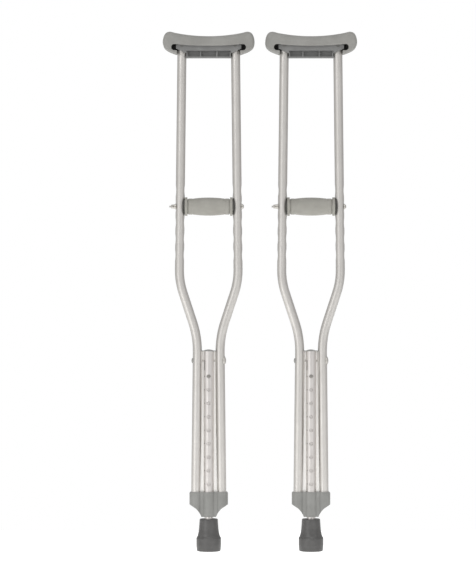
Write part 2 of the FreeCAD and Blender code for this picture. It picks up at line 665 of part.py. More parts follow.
def ferrule():
    """Three lobes side by side, drawn in below to a neck round the leg."""
    low, high = FERRULE_BOTTOM, FERRULE_TOP
    reach = FOOT_HALF_SPACING
    lobes = both_sides(lambda s: rod(FERRULE_LOBE_R, V(s * reach, 0, low), V(s * reach, 0, high)))
    middle = rod(FERRULE_MIDDLE_R, V(0, 0, low), V(0, 0, high))
    web = block(-reach, reach, -FERRULE_WEB, FERRULE_WEB, low, high)
    body = fused(lobes + [middle, web])
    wide, neck = FERRULE_HALF_WIDTH, FERRULE_MIDDLE_R + 1.2
    shoulder_z, knee_x, knee_z = high - 27.0, FERRULE_HALF_WIDTH - 13.6, high - 35.6
    corner_x, corner_z = wide - FERRULE_CORNER, high - FERRULE_CORNER
    sides = []
    for side in (-1, 1):
        knee, toe = V(side * knee_x, 0, knee_z), V(side * neck, 0, low)
        mid = V(side * (neck + 4.6), 0, low + 9.6)
        corner = V(side * wide, 0, corner_z)
        sides += [
            Part.LineSegment(V(side * corner_x, 0, high), corner).toShape(),
            Part.LineSegment(corner, V(side * wide, 0, shoulder_z)).toShape(),
            Part.LineSegment(V(side * wide, 0, shoulder_z), knee).toShape(),
            Part.Arc(knee, mid, toe).toShape(),
        ]
    sides.append(Part.LineSegment(V(-corner_x, 0, high), V(corner_x, 0, high)).toShape())
    sides.append(Part.LineSegment(V(-neck, 0, low), V(neck, 0, low)).toShape())
    body = body.common(slab(Part.__sortEdges__(sides), 2 * TUBE_R))

    sockets = both_sides(lambda s: tube_room(s, SEAT_FIT, TUBE_BOTTOM, high + 5, lower_axis_x))
    middle_room = rod(HOUSING_R + SEAT_FIT, V(0, 0, low + BUSH_SEAT), V(0, 0, high + 1))
    leg_room = rod(LEG_R + HOUSING_FIT, V(0, 0, low - 1), V(0, 0, high))
    lip_room = SADDLE_FIT + SADDLE_T + SEAT_FIT
    lips = both_sides(lambda s: tube_room(s, lip_room, HOUSING_BOTTOM, high + 5, lower_axis_x))
    lip_x = LIP_X + SEAT_FIT
    lip_span = block(-lip_x, lip_x, -TUBE_R, TUBE_R, HOUSING_BOTTOM, high + 1)
    web_y = HOUSING_WEB_T / 2 + SEAT_FIT
    web_room = block(-reach, reach, -web_y, web_y, HOUSING_BOTTOM, high + 1)
    rivets = both_sides(lambda s: ferrule_rivet(s, SEAT_FIT))
    cuts = sockets + rivets + [middle_room, leg_room, web_room]
    body = body.cut(Part.makeCompound(lips).common(lip_span))
    for cut in cuts:
        body = body.cut(cut)
    return body


def ferrule_rivet(side, clearance=0.0):
    """A blind rivet from behind, through the ferrule's wall and the tube's rear wall."""
    x = side * lower_axis_x(FERRULE_RIVET_Z)
    inner_end = V(x, TUBE_R - TUBE_WALL - RIVET_R, FERRULE_RIVET_Z)
    back = V(x, FERRULE_LOBE_R, FERRULE_RIVET_Z)
    shank = rod(RIVET_R + clearance, inner_end, back)
    if clearance:
        return shank
    return fused([shank, dome(BLIND_HEAD_R, BLIND_HEAD_RISE, back, Y_AXIS)])


def leg_guide_bush():
    low, high = FERRULE_BOTTOM + BUSH_SEAT + SEAT_FIT, HOUSING_BOTTOM - SEAT_FIT
    return ring(HOUSING_R, LEG_R + BUSH_FIT, V(0, 0, low), V(0, 0, high))


# ---------------------------------------------------------------- leg, button and tip
def leg_tube():
    leg = ring(LEG_R, LEG_R - LEG_WALL, V(0, 0, LEG_BOTTOM), V(0, 0, LEG_TOP))
    return leg.cut(rod(BUTTON_R + BUTTON_FIT / 2, V(0, 0, BUTTON_Z), V(0, -2 * LEG_R, BUTTON_Z)))


def leg_top_bush():
    """A plastic plug in the leg's top that centres it in the housing."""
    collar_r, spigot_r = HOUSING_BORE_R - BUSH_FIT, LEG_R - LEG_WALL - 0.05
    edge = 0.8
    profile = [
        (PLUG_BORE_R, -PLUG_SPIGOT),
        (spigot_r, -PLUG_SPIGOT),
        (spigot_r, 0.05),
        (collar_r, 0.05),
        (collar_r, PLUG_COLLAR_T - edge),
        (collar_r - edge, PLUG_COLLAR_T),
        (PLUG_BORE_R, PLUG_COLLAR_T),
    ]
    return turned(profile, V(0, 0, LEG_TOP), Z_AXIS)


# how far forward the button's flange can come before it meets the leg's bore
BUTTON_SEAT_Y = math.sqrt((LEG_R - LEG_WALL) ** 2 - BUTTON_FLANGE_R**2) - SEAT_FIT


def snap_button():
    tip_y, seat_y = HOUSING_R + BUTTON_PROUD, BUTTON_SEAT_Y
    profile = [
        (0, seat_y - BUTTON_FLANGE_T),
        (BUTTON_FLANGE_R, seat_y - BUTTON_FLANGE_T),
        (BUTTON_FLANGE_R, seat_y),
        (BUTTON_R, seat_y),
        (BUTTON_R, tip_y - 1.6),
        (BUTTON_R - 0.5, tip_y - 0.7),
        (BUTTON_R - 1.4, tip_y - 0.15),
        (BUTTON_R - 2.4, tip_y),
        (0, tip_y),
    ]
    return turned(profile, V(0, 0, BUTTON_Z), V(0, -1, 0))


def snap_spring():
    """A folded leaf spring in the leg: one leaf behind the button, one on the far wall."""
    leaf = SPRING_LEAF_T
    front = -(BUTTON_SEAT_Y - BUTTON_FLANGE_T) + SEAT_FIT
    back = math.sqrt((LEG_R - LEG_WALL) ** 2 - SPRING_HALF_WIDTH**2) - SEAT_FIT
    top, knee, foot = BUTTON_Z + SPRING_RISE, BUTTON_Z - 8.0, BUTTON_Z - SPRING_LENGTH
    profile = [
        (front, top),
        (front + leaf, top),
        (front + leaf, knee),
        (0.4, foot + 2.0),
        (back - leaf, top),
        (back, top),
        (back, top - 4.0),
        (0.8, foot),
        (-0.4, foot),
        (front, knee),
    ]
    corners = [V(-SPRING_HALF_WIDTH, y, z) for y, z in profile]
    face = Part.Face(Part.makePolygon(corners + corners[:1]))
    return face.extrude(V(2 * SPRING_HALF_WIDTH, 0, 0))


def crutch_tip():
    """A rubber boot: a tapered neck, a shoulder and a wide ribbed sole."""
    base, top, depth = TIP_BASE_R, TIP_HEIGHT, SOLE_GROOVE_DEPTH
    sole, r = [], 3 * SOLE_GROOVE
    while r + SOLE_GROOVE + SOLE_LAND < base - 3:
        sole += [(r, 0), (r, depth), (r + SOLE_GROOVE, depth), (r + SOLE_GROOVE, 0)]
        r += SOLE_GROOVE + SOLE_LAND
    profile = [(0, TIP_FLOOR), (0, 0)] + sole
    profile += [
        (base - 1.9, 0),
        (base - 1.0, 1.2),
        (base - 0.5, 6.0),
        (base, 14.0),
        (base, 27.5),
        (base - 0.5, 29.3),
        (base - 2.6, 32.8),
        (base - 3.6, 36.4),
        (TIP_NECK_R + 2.9, 40.5),
        (TIP_NECK_R + 1.7, 47.0),
        (TIP_NECK_R + 1.0, 56.0),
        (TIP_NECK_R + 0.3, top - 4.0),
        (TIP_NECK_R, top - 1.0),
        (TIP_NECK_R - 0.8, top),
        (LEG_R + SEAT_FIT, top),
        (LEG_R + SEAT_FIT, TIP_FLOOR),
    ]
    return turned(profile, V(0, 0, 0), Z_AXIS)


def tip_washer():
    low, high = V(0, 0, TIP_FLOOR + 0.05), V(0, 0, LEG_BOTTOM - 0.05)
    return ring(LEG_R - 0.2, 3.0, low, high)


# ---------------------------------------------------------------- both crutches
def crutch_pieces():
    return {
        "front_tube": bent_tube(-1),
        "rear_tube": bent_tube(1),
        "underarm_crosspiece": underarm_crosspiece(),
        "crosspiece_rivets": Part.makeCompound(both_sides(socket_rivet)),
        "underarm_pad": underarm_pad(),
        "grip_core": grip_core(),
        "grip_sleeve": grip_sleeve(),
        "grip_bolt": grip_bolt(),
        "grip_washers": grip_washers(),
        "wing_nut": wing_nut(),
        "leg_housing": leg_housing(),
        "housing_top_cap": housing_top_cap(),
        "housing_bolt": housing_bolt(),
        "housing_cap_nut": housing_cap_nut(),
        "ferrule": ferrule(),
        "ferrule_rivets": Part.makeCompound(both_sides(ferrule_rivet)),
        "leg_guide_bush": leg_guide_bush(),
        "leg_tube": leg_tube(),
        "leg_top_bush": leg_top_bush(),
        "snap_button": snap_button(),
        "snap_spring": snap_spring(),
        "crutch_tip": crutch_tip(),
        "tip_washer": tip_washer(),
    }


os.makedirs("parts", exist_ok=True)
pieces = crutch_pieces()
for crutch, centre_x in (("left", -PAIR_SPACING / 2), ("right", PAIR_SPACING / 2)):
    for name, shape in pieces.items():
        placed = shape.copy()
        placed.translate(V(centre_x, 0, 0))
        placed.exportStep(f"parts/{crutch}_{name}.step")
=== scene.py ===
import math

import bmesh
import bpy
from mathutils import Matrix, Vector, noise


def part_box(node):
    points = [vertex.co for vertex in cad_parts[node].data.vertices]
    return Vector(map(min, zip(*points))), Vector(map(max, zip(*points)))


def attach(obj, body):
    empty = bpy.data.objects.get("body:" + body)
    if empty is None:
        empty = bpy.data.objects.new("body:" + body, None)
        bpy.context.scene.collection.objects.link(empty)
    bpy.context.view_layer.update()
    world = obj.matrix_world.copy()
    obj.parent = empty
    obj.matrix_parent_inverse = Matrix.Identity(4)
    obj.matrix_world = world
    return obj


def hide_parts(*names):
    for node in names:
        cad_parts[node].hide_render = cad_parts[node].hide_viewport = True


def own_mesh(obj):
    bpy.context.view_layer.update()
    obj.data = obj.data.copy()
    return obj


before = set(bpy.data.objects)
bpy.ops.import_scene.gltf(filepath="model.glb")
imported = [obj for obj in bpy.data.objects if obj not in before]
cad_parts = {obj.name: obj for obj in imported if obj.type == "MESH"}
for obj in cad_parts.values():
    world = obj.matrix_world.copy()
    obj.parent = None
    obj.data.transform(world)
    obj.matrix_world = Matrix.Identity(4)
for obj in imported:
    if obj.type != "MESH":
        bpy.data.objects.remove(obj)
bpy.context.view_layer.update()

# ---------------------------------------------------------------- bent tubes
# Two seamless tubes of 6061 aluminium on each crutch, 20 mm thick. They are bent cold,
# pinched at the grip holes, and clear anodised to a soft silver without a sharp mirror.
CRUTCHES = ("left", "right")
MM = 0.001  # metres


def linear(hex_colour):
    """The linear colour, with alpha, of an sRGB hex colour."""
    channels = [int(hex_colour[i : i + 2], 16) / 255 for i in (1, 3, 5)]
    return [c / 12.92 if c <= 0.04045 else ((c + 0.055) / 1.055) ** 2.4 for c in channels] + [1]


def add_node(tree, kind, inputs, **settings):
    """Adds a node with its settings. Each input is a value, or an output that feeds it."""
    made = tree.nodes.new("ShaderNode" + kind)
    for name, value in settings.items():
        setattr(made, name, value)
    for name, value in inputs.items():
        if isinstance(value, bpy.types.NodeSocket):
            tree.links.new(value, made.inputs[name])
        else:
            made.inputs[name].default_value = value
    return made


def new_material(name, metallic, roughness):
    """A material with its node tree and its shader."""
    material = bpy.data.materials.new(name)
    material.use_nodes = True
    tree = material.node_tree
    shader = tree.nodes["Principled BSDF"]
    shader.inputs["Metallic"].default_value = metallic
    shader.inputs["Roughness"].default_value = roughness
    return material, tree, shader


def paint(material, *nodes):
    """Gives the material to these CAD nodes of both crutches."""
    for crutch in CRUTCHES:
        for name in nodes:
            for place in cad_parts[f"{crutch}_{name}"].material_slots:
                place.material = material


METAL_SHARE = 0.88  # a clear oxide or a passivated skin dulls the bare metal a little


def metal_finish(name, pale, dark, roughness, line_mm, line_length_mm, line_depth_mm):
    """Satin metal whose fine drawing lines run upright along the piece."""
    material, tree, shader = new_material(name, METAL_SHARE, roughness)
    place = add_node(tree, "TexCoord", {}).outputs["Object"]
    across, along = 1 / (line_mm * MM), 1 / (line_length_mm * MM)
    stretched = add_node(
        tree, "Mapping", {"Vector": place, "Scale": (across, across, along)}
    ).outputs["Vector"]
    lines = add_node(
        tree, "TexNoise", {"Vector": stretched, "Scale": 1.0, "Detail": 3.0}
    ).outputs["Fac"]
    # handling leaves cloudy patches about 40 mm wide, a shade duller than the rest
    clouds = add_node(
        tree,
        "TexNoise",
        {"Vector": place, "Scale": 1 / (40 * MM), "Detail": 4.0, "Roughness": 0.6},
    ).outputs["Fac"]
    both = add_node(tree, "Math", {0: lines, 1: clouds}, operation="ADD").outputs[0]
    share = add_node(
        tree, "MapRange", {"Value": both, "From Min": 0.7, "From Max": 1.3}
    ).outputs["Result"]
    colour = add_node(
        tree, "Mix", {"Factor": share, 6: linear(dark), 7: linear(pale)}, data_type="RGBA"
    ).outputs[2]
    gloss = add_node(
        tree,
        "MapRange",
        {
            "Value": both,
            "From Min": 0.6,
            "From Max": 1.4,
            "To Min": roughness + 0.06,
            "To Max": roughness - 0.05,
        },
    ).outputs["Result"]
    bump = add_node(
        tree, "Bump", {"Height": lines, "Strength": 0.6, "Distance": line_depth_mm * MM}
    ).outputs["Normal"]
    tree.links.new(colour, shader.inputs["Base Color"])
    tree.links.new(gloss, shader.inputs["Roughness"])
    tree.links.new(bump, shader.inputs["Normal"])
    return material


# Clear anodised aluminium: a soft silver that takes a broad, blurred highlight.
anodised_tube = metal_finish(
    "anodised aluminium tube", "#D5D2CE", "#C9C6C2", 0.42, 1.2, 90, 0.012
)
paint(anodised_tube, "front_tube", "rear_tube")

# ---------------------------------------------------------------- underarm crosspiece
# One moulding of glass-filled polypropylene between the tubes' tops: a saddle plate, two
# sockets and an open ribbed beam. A countersunk steel rivet holds each tube in its socket.
SHADE_MM = 22  # the shade of a moulding changes slowly, over about this distance


def moulded_finish(name, pale, dark, roughness, grain_mm, grain_depth_mm):
    """Moulded plastic: spark-eroded grain, with slow changes of shade where it was handled."""
    material, tree, shader = new_material(name, 0.0, roughness)
    place = add_node(tree, "TexCoord", {}).outputs["Object"]
    grain = add_node(
        tree, "TexNoise", {"Vector": place, "Scale": 1 / (grain_mm * MM), "Detail": 2.0}
    ).outputs["Fac"]
    shade = add_node(
        tree, "TexNoise", {"Vector": place, "Scale": 1 / (SHADE_MM * MM), "Detail": 5.0}
    ).outputs["Fac"]
    both = add_node(
        tree, "Math", {0: grain, 1: 0.35, 2: shade}, operation="MULTIPLY_ADD"
    ).outputs[0]
    share = add_node(
        tree, "MapRange", {"Value": both, "From Min": 0.45, "From Max": 0.9}
    ).outputs["Result"]
    colour = add_node(
        tree, "Mix", {"Factor": share, 6: linear(dark), 7: linear(pale)}, data_type="RGBA"
    ).outputs[2]
    gloss = add_node(
        tree,
        "MapRange",
        {"Value": grain, "To Min": roughness - 0.06, "To Max": roughness + 0.08},
    ).outputs["Result"]
    bump = add_node(
        tree, "Bump", {"Height": grain, "Strength": 0.5, "Distance": grain_depth_mm * MM}
    ).outputs["Normal"]
    tree.links.new(colour, shader.inputs["Base Color"])
    tree.links.new(gloss, shader.inputs["Roughness"])
    tree.links.new(bump, shader.inputs["Normal"])
    return material


# Moulded polypropylene, mid grey: an even satin with a fine grain.
grey_polypropylene = moulded_finish(
    "moulded grey polypropylene", "#7E7E7D", "#747473", 0.5, 0.7, 0.04
)
paint(grey_polypropylene, "underarm_crosspiece")
# Zinc-plated steel: brighter and harder-edged than the anodised tube.
zinc_plated = metal_finish("zinc plated steel", "#C9C6C0", "#B3B0AB", 0.3, 0.8, 4, 0.01)
# Phosphated steel: a dull dark grey that hardly shows beside the moulding.
phosphated_steel = metal_finish("phosphated steel", "#868583", "#777674", 0.55, 0.6, 3, 0.01)
paint(phosphated_steel, "crosspiece_rivets")

# ---------------------------------------------------------------- underarm pad
# A boot of sponge rubber pulled over the crosspiece, with a soft lobe at each end and a
# blind hole beside each tube. It is moulded in one piece, so it has round edges, a fine
# skin and no seams. Millimetres from the crutch's centre and the crosspiece's underside.
PAD_ARC_END = 75.0  # the hollow top turns into the end lobe here
PAD_MIDDLE = 46.8  # top at the centre
PAD_TOP_R = 375.0
PAD_LOBE = [
    (79.4, 55.7),
    (84.4, 56.7),
    (89.4, 56.2),
    (93.7, 54.0),
    (97.3, 49.6),
    (99.8, 42.6),
    (101.0, 32.5),
    (98.3, 23.0),
    (92.9, 17.6),
    (84.5, 13.0),
]
PAD_FLAP = (68.9, 7.3)  # lower corner of the flap outside each tube
PAD_SKIRT_MIDDLE, PAD_SKIRT_END = 25.0, 28.5  # height of the lower edge between the tubes
PAD_SKIRT_REACH = 70.0  # from the middle to where the lower edge is at its highest
PAD_STEP = 3.0  # between points along the top and along the lower edge
LOBE_STEPS, FLAP_STEPS = 4, 5  # between two points of the lobe, and up the flap
PAD_HALF_DEPTH = 22.5
PAD_EDGE_R = 8.5  # the front and back edges are round
EDGE_STEPS = 7
FLAP_ROUND, SKIRT_ROUND = 0.14, 0.16  # shares of that radius at the flap and lower edge
PAD_CROWN, CROWN_BELOW_TOP, CROWN_REACH = 0.5, 12, 14  # swell of the front and back
PAD_REACH = 100  # half the pad's length, for the swell
PAD_UNEVEN = 0.25  # how far the moulded surface wanders
PAD_SHRINK = 0.2
PAD_VOXEL = 1.5
PAD_HOLE_X, PAD_HOLE_HALF_WIDTH = 76.0, 5.9
PAD_HOLE_LOW, PAD_HOLE_HIGH = 15.4, 28.6
PAD_HOLE_INNER_X = PAD_FLAP[0] - 1  # the cutter's straight side stands out of the flap
PAD_HOLE_CORNER = 0.5  # that side stops this far short at each end
PAD_HOLE_WEB = 2.5  # half the rubber between the front hole and the back one
HOLE_SIDE_MARGIN, HOLE_END_MARGIN = 0.8, 1.2  # smoothing moves a hole's faces outwards
HOLE_INNER_MARGIN = 1
HOLE_RIM = 1.4  # the painted shade starts this far in from the front and back faces
BOOT_HALF_LENGTH, BOOT_HALF_DEPTH = 86.4, 15.4
BOOT_TOP, BOOT_BOTTOM = 8.0, 24.5  # below the pad's top, following its curve
BOOT_STEPS = 14  # on each side of the middle
BOOT_MARGIN = 2  # the swell leaves the hollow and its edges alone
CUTTER_END = 30.0  # the cutters for the holes stand out of the pad


def smooth_path(points, steps):
    """Points along a curve through these points, with steps between each two."""
    ends = [2 * points[0] - points[1], *points, 2 * points[-1] - points[-2]]
    path = []
    for a, b, c, d in zip(ends, ends[1:], ends[2:], ends[3:]):
        for step in range(steps):
            t = step / steps
            path.append(
                0.5
                * (
                    2 * b
                    + (c - a) * t
                    + (2 * a - 5 * b + 4 * c - d) * t**2
                    + (3 * b - a - 3 * c + d) * t**3
                )
            )
    return path + [points[-1]]


def pad_top(x, below=0.0):
    """Height of the pad's hollow top, or of a surface that follows it below."""
    radius = PAD_TOP_R + below
    return PAD_MIDDLE + PAD_TOP_R - math.sqrt(radius**2 - x**2)


def pad_outline():
    """The pad's outline from the front, and how round its edge is at each point."""
    arc_steps = int(PAD_ARC_END / PAD_STEP)
    half = [(Vector((n * PAD_STEP, pad_top(n * PAD_STEP))), 1.0) for n in range(arc_steps)]
    arc_end = (PAD_ARC_END, pad_top(PAD_ARC_END))
    lobe = smooth_path([Vector(p) for p in (arc_end, *PAD_LOBE, PAD_FLAP)], LOBE_STEPS)
    for number, point in enumerate(lobe):
        # the edge is fully round as far as half way down the lobe, and then sharpens
        past_half = max(0.0, 2 * number / (len(lobe) - 1) - 1)
        half.append((point, 1.0 - (1.0 - FLAP_ROUND) * past_half))
    for step in range(1, FLAP_STEPS + 1):
        height = PAD_FLAP[1] + (PAD_SKIRT_END - PAD_FLAP[1]) * step / FLAP_STEPS
        half.append((Vector((PAD_FLAP[0], height)), FLAP_ROUND))
    for step in range(int(PAD_SKIRT_REACH / PAD_STEP), -1, -1):
        x = PAD_STEP * step
        rise = (PAD_SKIRT_END - PAD_SKIRT_MIDDLE) * (x / PAD_SKIRT_REACH) ** 2
        half.append((Vector((x, PAD_SKIRT_MIDDLE + rise)), SKIRT_ROUND))
    mirrored = [(Vector((-p.x, p.y)), r) for p, r in reversed(half[1:-1])]
    return half + mirrored


def mesh_piece(name, made):
    """A new object that holds the bmesh."""
    mesh = bpy.data.meshes.new(name)
    made.to_mesh(mesh)
    made.free()
    piece = bpy.data.objects.new(name, mesh)
    bpy.context.scene.collection.objects.link(piece)
    return piece


def prism(name, outline, y_low, y_high, centre_x, base_z):
    """A closed front outline, in millimetres, given depth."""
    made = bmesh.new()
    rings = []
    for y in (y_low, y_high):
        rings.append(
            [made.verts.new((centre_x + p.x * MM, y * MM, base_z + p.y * MM)) for p in outline]
        )
    for a, b, c, d in zip(
        rings[0], rings[0][1:] + rings[0][:1], rings[1][1:] + rings[1][:1], rings[1]
    ):
        made.faces.new((a, b, c, d))
    made.faces.new(rings[0])
    made.faces.new(rings[1])
    bmesh.ops.recalc_face_normals(made, faces=made.faces)
    return mesh_piece(name, made)


def rounded_pad(name, centre_x, base_z):
    """The pad's outer body, its front and back edges rounded in rings."""
    outline = pad_outline()
    count = len(outline)
    made = bmesh.new()
    rings = []
    for face in (-1, 1):
        for step in range(EDGE_STEPS + 1):
            turn = math.pi / 2 * step / EDGE_STEPS
            ring = []
            for number, (point, share) in enumerate(outline):
                along = outline[(number + 1) % count][0] - outline[number - 1][0]
                inward = Vector((-along.y, along.x)).normalized() * -1
                edge = PAD_EDGE_R * share
                moved = point + inward * edge * (1 - math.cos(turn))
                y = face * (PAD_HALF_DEPTH - edge * (1 - math.sin(turn)))
                ring.append(
                    made.verts.new(
                        (centre_x + moved.x * MM, y * MM, base_z + moved.y * MM)
                    )
                )
            rings.append(ring)
    front, back = rings[: EDGE_STEPS + 1], rings[EDGE_STEPS + 1 :]
    order = front[::-1] + back
    for near, far in zip(order, order[1:]):
        for number in range(count):
            after = (number + 1) % count
            made.faces.new((near[number], near[after], far[after], far[number]))
    made.faces.new(order[0])
    made.faces.new(order[-1])
    bmesh.ops.recalc_face_normals(made, faces=made.faces)
    return mesh_piece(name, made)


def settle(piece):
    """Applies the piece's modifiers to its mesh."""
    evaluated = piece.evaluated_get(bpy.context.evaluated_depsgraph_get())
    made = bpy.data.meshes.new_from_object(evaluated)
    made.materials.clear()  # a cut leaves an empty place for a material
    piece.modifiers.clear()
    piece.data = made


def carve(piece, cutters):
    """Cuts the cutters out of the piece and removes them."""
    for cutter in cutters:
        cut = piece.modifiers.new("cut", "BOOLEAN")
        cut.operation, cut.object, cut.solver = "DIFFERENCE", cutter, "MANIFOLD"
    settle(piece)
    for cutter in cutters:
        bpy.data.objects.remove(cutter)


def boot_outline():
    """The hollow inside the pad, in which the crosspiece's saddle plate sits."""
    steps = range(-BOOT_STEPS, BOOT_STEPS + 1)
    xs = [BOOT_HALF_LENGTH * step / BOOT_STEPS for step in steps]
    top = [Vector((x, pad_top(x, BOOT_TOP))) for x in xs]
    bottom = [Vector((x, pad_top(x, BOOT_BOTTOM))) for x in reversed(xs)]
    return top + bottom


def hole_outline(side):
    """A tall hole, round on the outer side and straight along the tube."""
    r, arc_steps = PAD_HOLE_HALF_WIDTH, 8
    middle_low, middle_high = PAD_HOLE_LOW + r, PAD_HOLE_HIGH - r
    points = []
    for step in range(arc_steps + 1):
        turn = math.pi * (0.5 - step / arc_steps)
        z = (middle_high if turn > 0 else middle_low) + r * math.sin(turn)
        points.append(Vector((side * (PAD_HOLE_X + r * math.cos(turn)), z)))
    points.append(Vector((side * PAD_HOLE_INNER_X, PAD_HOLE_LOW + PAD_HOLE_CORNER)))
    points.append(Vector((side * PAD_HOLE_INNER_X, PAD_HOLE_HIGH - PAD_HOLE_CORNER)))
    return points


# Sponge rubber with a closed skin: dull, with a soft bloom on the edges that face up.
sponge_rubber, tree, shader = new_material("grey sponge rubber", 0.0, 0.72)
place = add_node(tree, "TexCoord", {}).outputs["Object"]
# real cells are under half a millimetre; they are drawn at 0.9 mm so that they show
cells = add_node(
    tree, "TexVoronoi", {"Vector": place, "Scale": 1 / (0.9 * MM)}
).outputs["Distance"]
skin = add_node(
    tree, "TexNoise", {"Vector": place, "Scale": 1 / (3 * MM), "Detail": 6.0, "Roughness": 0.65}
).outputs["Fac"]
# the bloom comes and goes over about 33 mm
bloom = add_node(tree, "TexNoise", {"Vector": place, "Scale": 30.0, "Detail": 3.0}).outputs["Fac"]
speckle = add_node(tree, "Math", {0: skin, 1: 0.5, 2: bloom}, operation="MULTIPLY_ADD").outputs[0]
share = add_node(
    tree, "MapRange", {"Value": speckle, "From Min": 0.55, "From Max": 0.95}
).outputs["Result"]
rubber = add_node(
    tree, "Mix", {"Factor": share, 6: linear("#888783"), 7: linear("#93928E")}, data_type="RGBA"
).outputs[2]
height = add_node(tree, "Math", {0: cells, 1: 0.4, 2: skin}, operation="MULTIPLY_ADD").outputs[0]
bump = add_node(
    tree, "Bump", {"Height": height, "Strength": 0.45, "Distance": 0.08 * MM}
).outputs["Normal"]
tree.links.new(rubber, shader.inputs["Base Color"])
tree.links.new(bump, shader.inputs["Normal"])
shader.inputs["Sheen Weight"].default_value = 0.12
shader.inputs["Sheen Roughness"].default_value = 0.6

# Painted shade: the walls inside the blind holes get a near-black rubber colour that stands for
# the shade deep in them.
hole_shade_paint = moulded_finish("painted shade in pad holes", "#3B3A39", "#2A2A29", 0.85, 1.2, 0.15)

for crutch in CRUTCHES:
    low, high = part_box(f"{crutch}_underarm_pad")
    centre_x = (low.x + high.x) / 2
    base_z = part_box(f"{crutch}_underarm_crosspiece")[0].z
    pad = rounded_pad(f"{crutch}_sponge_pad", centre_x, base_z)
    cutters = [prism("boot", boot_outline(), -BOOT_HALF_DEPTH, BOOT_HALF_DEPTH, centre_x, base_z)]
    for side, face in ((-1, -1), (-1, 1), (1, -1), (1, 1)):
        near, far = sorted((face * PAD_HOLE_WEB, face * CUTTER_END))
        cutters.append(prism("hole", hole_outline(side), near, far, centre_x, base_z))
    carve(pad, cutters)
    remesh = pad.modifiers.new("even mesh", "REMESH")
    remesh.mode, remesh.voxel_size = "VOXEL", PAD_VOXEL * MM
    soften = pad.modifiers.new("soft edges", "SMOOTH")
    soften.factor, soften.iterations = 0.5, 5
    settle(pad)
    for vertex in pad.data.vertices:
        across = (vertex.co.x - centre_x) / (PAD_REACH * MM)
        below = pad_top(PAD_REACH * across) - (vertex.co.z - base_z) / MM
        up = (CROWN_BELOW_TOP - below) / CROWN_REACH
        swell = PAD_CROWN * max(0.0, 1 - across**4) * max(0.0, 1 - up**2)
        uneven = PAD_UNEVEN * noise.noise(vertex.co * 45.0)  # over about 22 mm
        if abs(vertex.co.y) > (BOOT_HALF_DEPTH + BOOT_MARGIN) * MM:
            vertex.co.y += math.copysign((swell + uneven - PAD_SHRINK) * MM, vertex.co.y)
    pad.data.polygons.foreach_set("use_smooth", [True] * len(pad.data.polygons))
    pad.data.materials.append(sponge_rubber)
    pad.data.materials.append(hole_shade_paint)
    # polygons inside a hole, below its rim, take the painted shade
    for polygon in pad.data.polygons:
        across = abs(polygon.center.x - centre_x) / MM - PAD_HOLE_X
        up = (polygon.center.z - base_z) / MM
        inside = (
            across < PAD_HOLE_HALF_WIDTH + HOLE_SIDE_MARGIN
            and PAD_HOLE_LOW - HOLE_END_MARGIN < up < PAD_HOLE_HIGH + HOLE_END_MARGIN
            and across > PAD_HOLE_INNER_X - PAD_HOLE_X - HOLE_INNER_MARGIN
        )
        if inside and abs(polygon.center.y) < (PAD_HALF_DEPTH - HOLE_RIM) * MM:
            polygon.material_index = 1
    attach(pad, f"{crutch}_frame")
    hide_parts(f"{crutch}_underarm_pad")

# ---------------------------------------------------------------- hand grip
# A sleeve of soft PVC over a stiff core whose cupped ends hug the tubes. The sleeve has a
# swollen middle, a shallow collar and a groove near each end, and a flange against the cup.
GRIP_FLANGE_R, GRIP_FLANGE_T = 20.4, 5.4
GRIP_GROOVE_R, GRIP_GROOVE_T = 16.2, 2.4
GRIP_COLLAR_R, GRIP_COLLAR_T = 17.5, 8.0
GRIP_END_R, GRIP_MIDDLE_R = 17.1, 19.7
GRIP_CUP_R, GRIP_CUP_T, GRIP_BORE_R = 18.1, 2.8, 11.8  # the core's cups fill the recess
GRIP_CORNER_R, CORNER_STEPS = 0.9, 4
CORNER_SHARE = 0.45  # of a side that the rounding of one corner may take
GROOVE_SLOPE, FLANGE_SLOPE, FLANGE_TAPER = 0.3, 0.2, 0.3  # how far these walls lean
COLLAR_SLOPE = 0.6  # and the step up from the barrel to the collar
BARREL_STEPS, GRIP_TURNS = 10, 72  # on each side of the middle, and round the sleeve
MOULD_RIDGE = 0.2


def rounded_profile(points, corner):
    """A closed profile with each corner rounded, as near to that radius as its sides allow."""
    path = []
    for before, here, after in zip(points[-1:] + points, points, points[1:] + points[:1]):
        shorter = min((before - here).length, (after - here).length)
        reach = min(corner, shorter * CORNER_SHARE)
        start = here + (before - here).normalized() * reach
        end = here + (after - here).normalized() * reach
        for step in range(CORNER_STEPS + 1):
            t = step / CORNER_STEPS
            path.append(start * (1 - t) ** 2 + here * 2 * t * (1 - t) + end * t**2)
    return path


def grip_profile(half_length):
    """(distance along the grip, radius) points round the sleeve's section."""
    flange_x = half_length - GRIP_FLANGE_T
    collar_x = flange_x - GRIP_GROOVE_T
    barrel_x = collar_x - GRIP_COLLAR_T
    right = [
        (barrel_x, GRIP_COLLAR_R),
        (collar_x, GRIP_COLLAR_R),
        (collar_x + GROOVE_SLOPE, GRIP_GROOVE_R),
        (flange_x - FLANGE_SLOPE, GRIP_GROOVE_R),
        (flange_x, GRIP_FLANGE_R),
        (half_length, GRIP_FLANGE_R - FLANGE_TAPER),
        (half_length, GRIP_CUP_R),
        (half_length - GRIP_CUP_T, GRIP_CUP_R),
        (half_length - GRIP_CUP_T, GRIP_BORE_R),
    ]
    barrel = []
    for step in range(-BARREL_STEPS, BARREL_STEPS + 1):
        t = step / BARREL_STEPS
        x = t * (barrel_x - COLLAR_SLOPE)
        barrel.append((x, GRIP_MIDDLE_R + (GRIP_END_R - GRIP_MIDDLE_R) * t**2))
    points = barrel + right + [(-x, r) for x, r in reversed(right)]
    return [Vector(p) for p in points]


